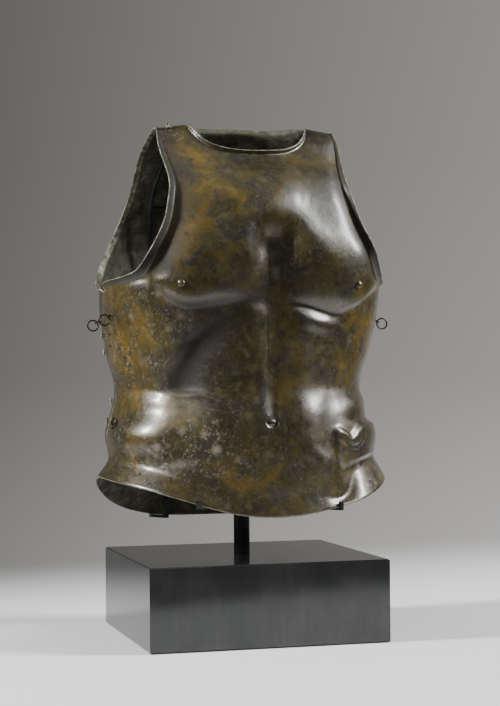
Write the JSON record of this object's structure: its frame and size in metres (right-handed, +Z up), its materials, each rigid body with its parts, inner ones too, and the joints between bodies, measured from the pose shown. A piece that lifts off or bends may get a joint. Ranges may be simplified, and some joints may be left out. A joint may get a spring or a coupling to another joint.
{
  "type": "bronze muscle cuirass on a block-and-post display stand",
  "caption": "Hollow muscle cuirass of hammered bronze, breastplate and backplate, open at neck, arms and hem, held on a post rising from a rectangular block.",
  "frame": {"origin": "centre of the underside of the base block", "axes": "+Z up, -Y the way the chest faces, +X towards the wearer's left"},
  "size_m": [0.377, 0.2762, 0.6418],
  "materials": {
    "bronze_sheet": "hammered bronze sheet, waxed brown and olive patina",
    "bronze_fittings": "dark green-brown bronze wire and castings",
    "black_steel": "satin black lacquered steel",
    "patinated_steel": "dark grey patinated steel sheet, waxed"
  },
  "bodies": {
    "root": {"breastplate": "bronze_sheet", "backplate": "bronze_sheet", "nipple_stud_right": "bronze_fittings", "nipple_stud_left": "bronze_fittings", "rivet_right_upper": "bronze_fittings", "rivet_right_lower": "bronze_fittings", "rivet_left_upper": "bronze_fittings", "rivet_left_lower": "bronze_fittings", "ring_front_right": "bronze_fittings", "ring_eye_front_right": "bronze_fittings", "ring_front_left": "bronze_fittings", "ring_eye_front_left": "bronze_fittings", "ring_back_right": "bronze_fittings", "ring_eye_back_right": "bronze_fittings", "ring_back_left": "bronze_fittings", "ring_eye_back_left": "bronze_fittings", "hinge_knuckle_upper_1": "bronze_fittings", "hinge_knuckle_upper_2": "bronze_fittings", "hinge_knuckle_lower_1": "bronze_fittings", "hinge_knuckle_lower_2": "bronze_fittings", "hinge_washer": "bronze_fittings", "shoulder_peg": "bronze_fittings", "post": "black_steel", "hook_arm_front_right": "black_steel", "hook_arm_front_left": "black_steel", "hook_arm_back_right": "black_steel", "hook_arm_back_left": "black_steel", "upright_right": "black_steel", "upright_left": "black_steel", "crossbar": "black_steel", "tie_arm": "black_steel", "base_block": "patinated_steel"}
  },
  "joints": []
}
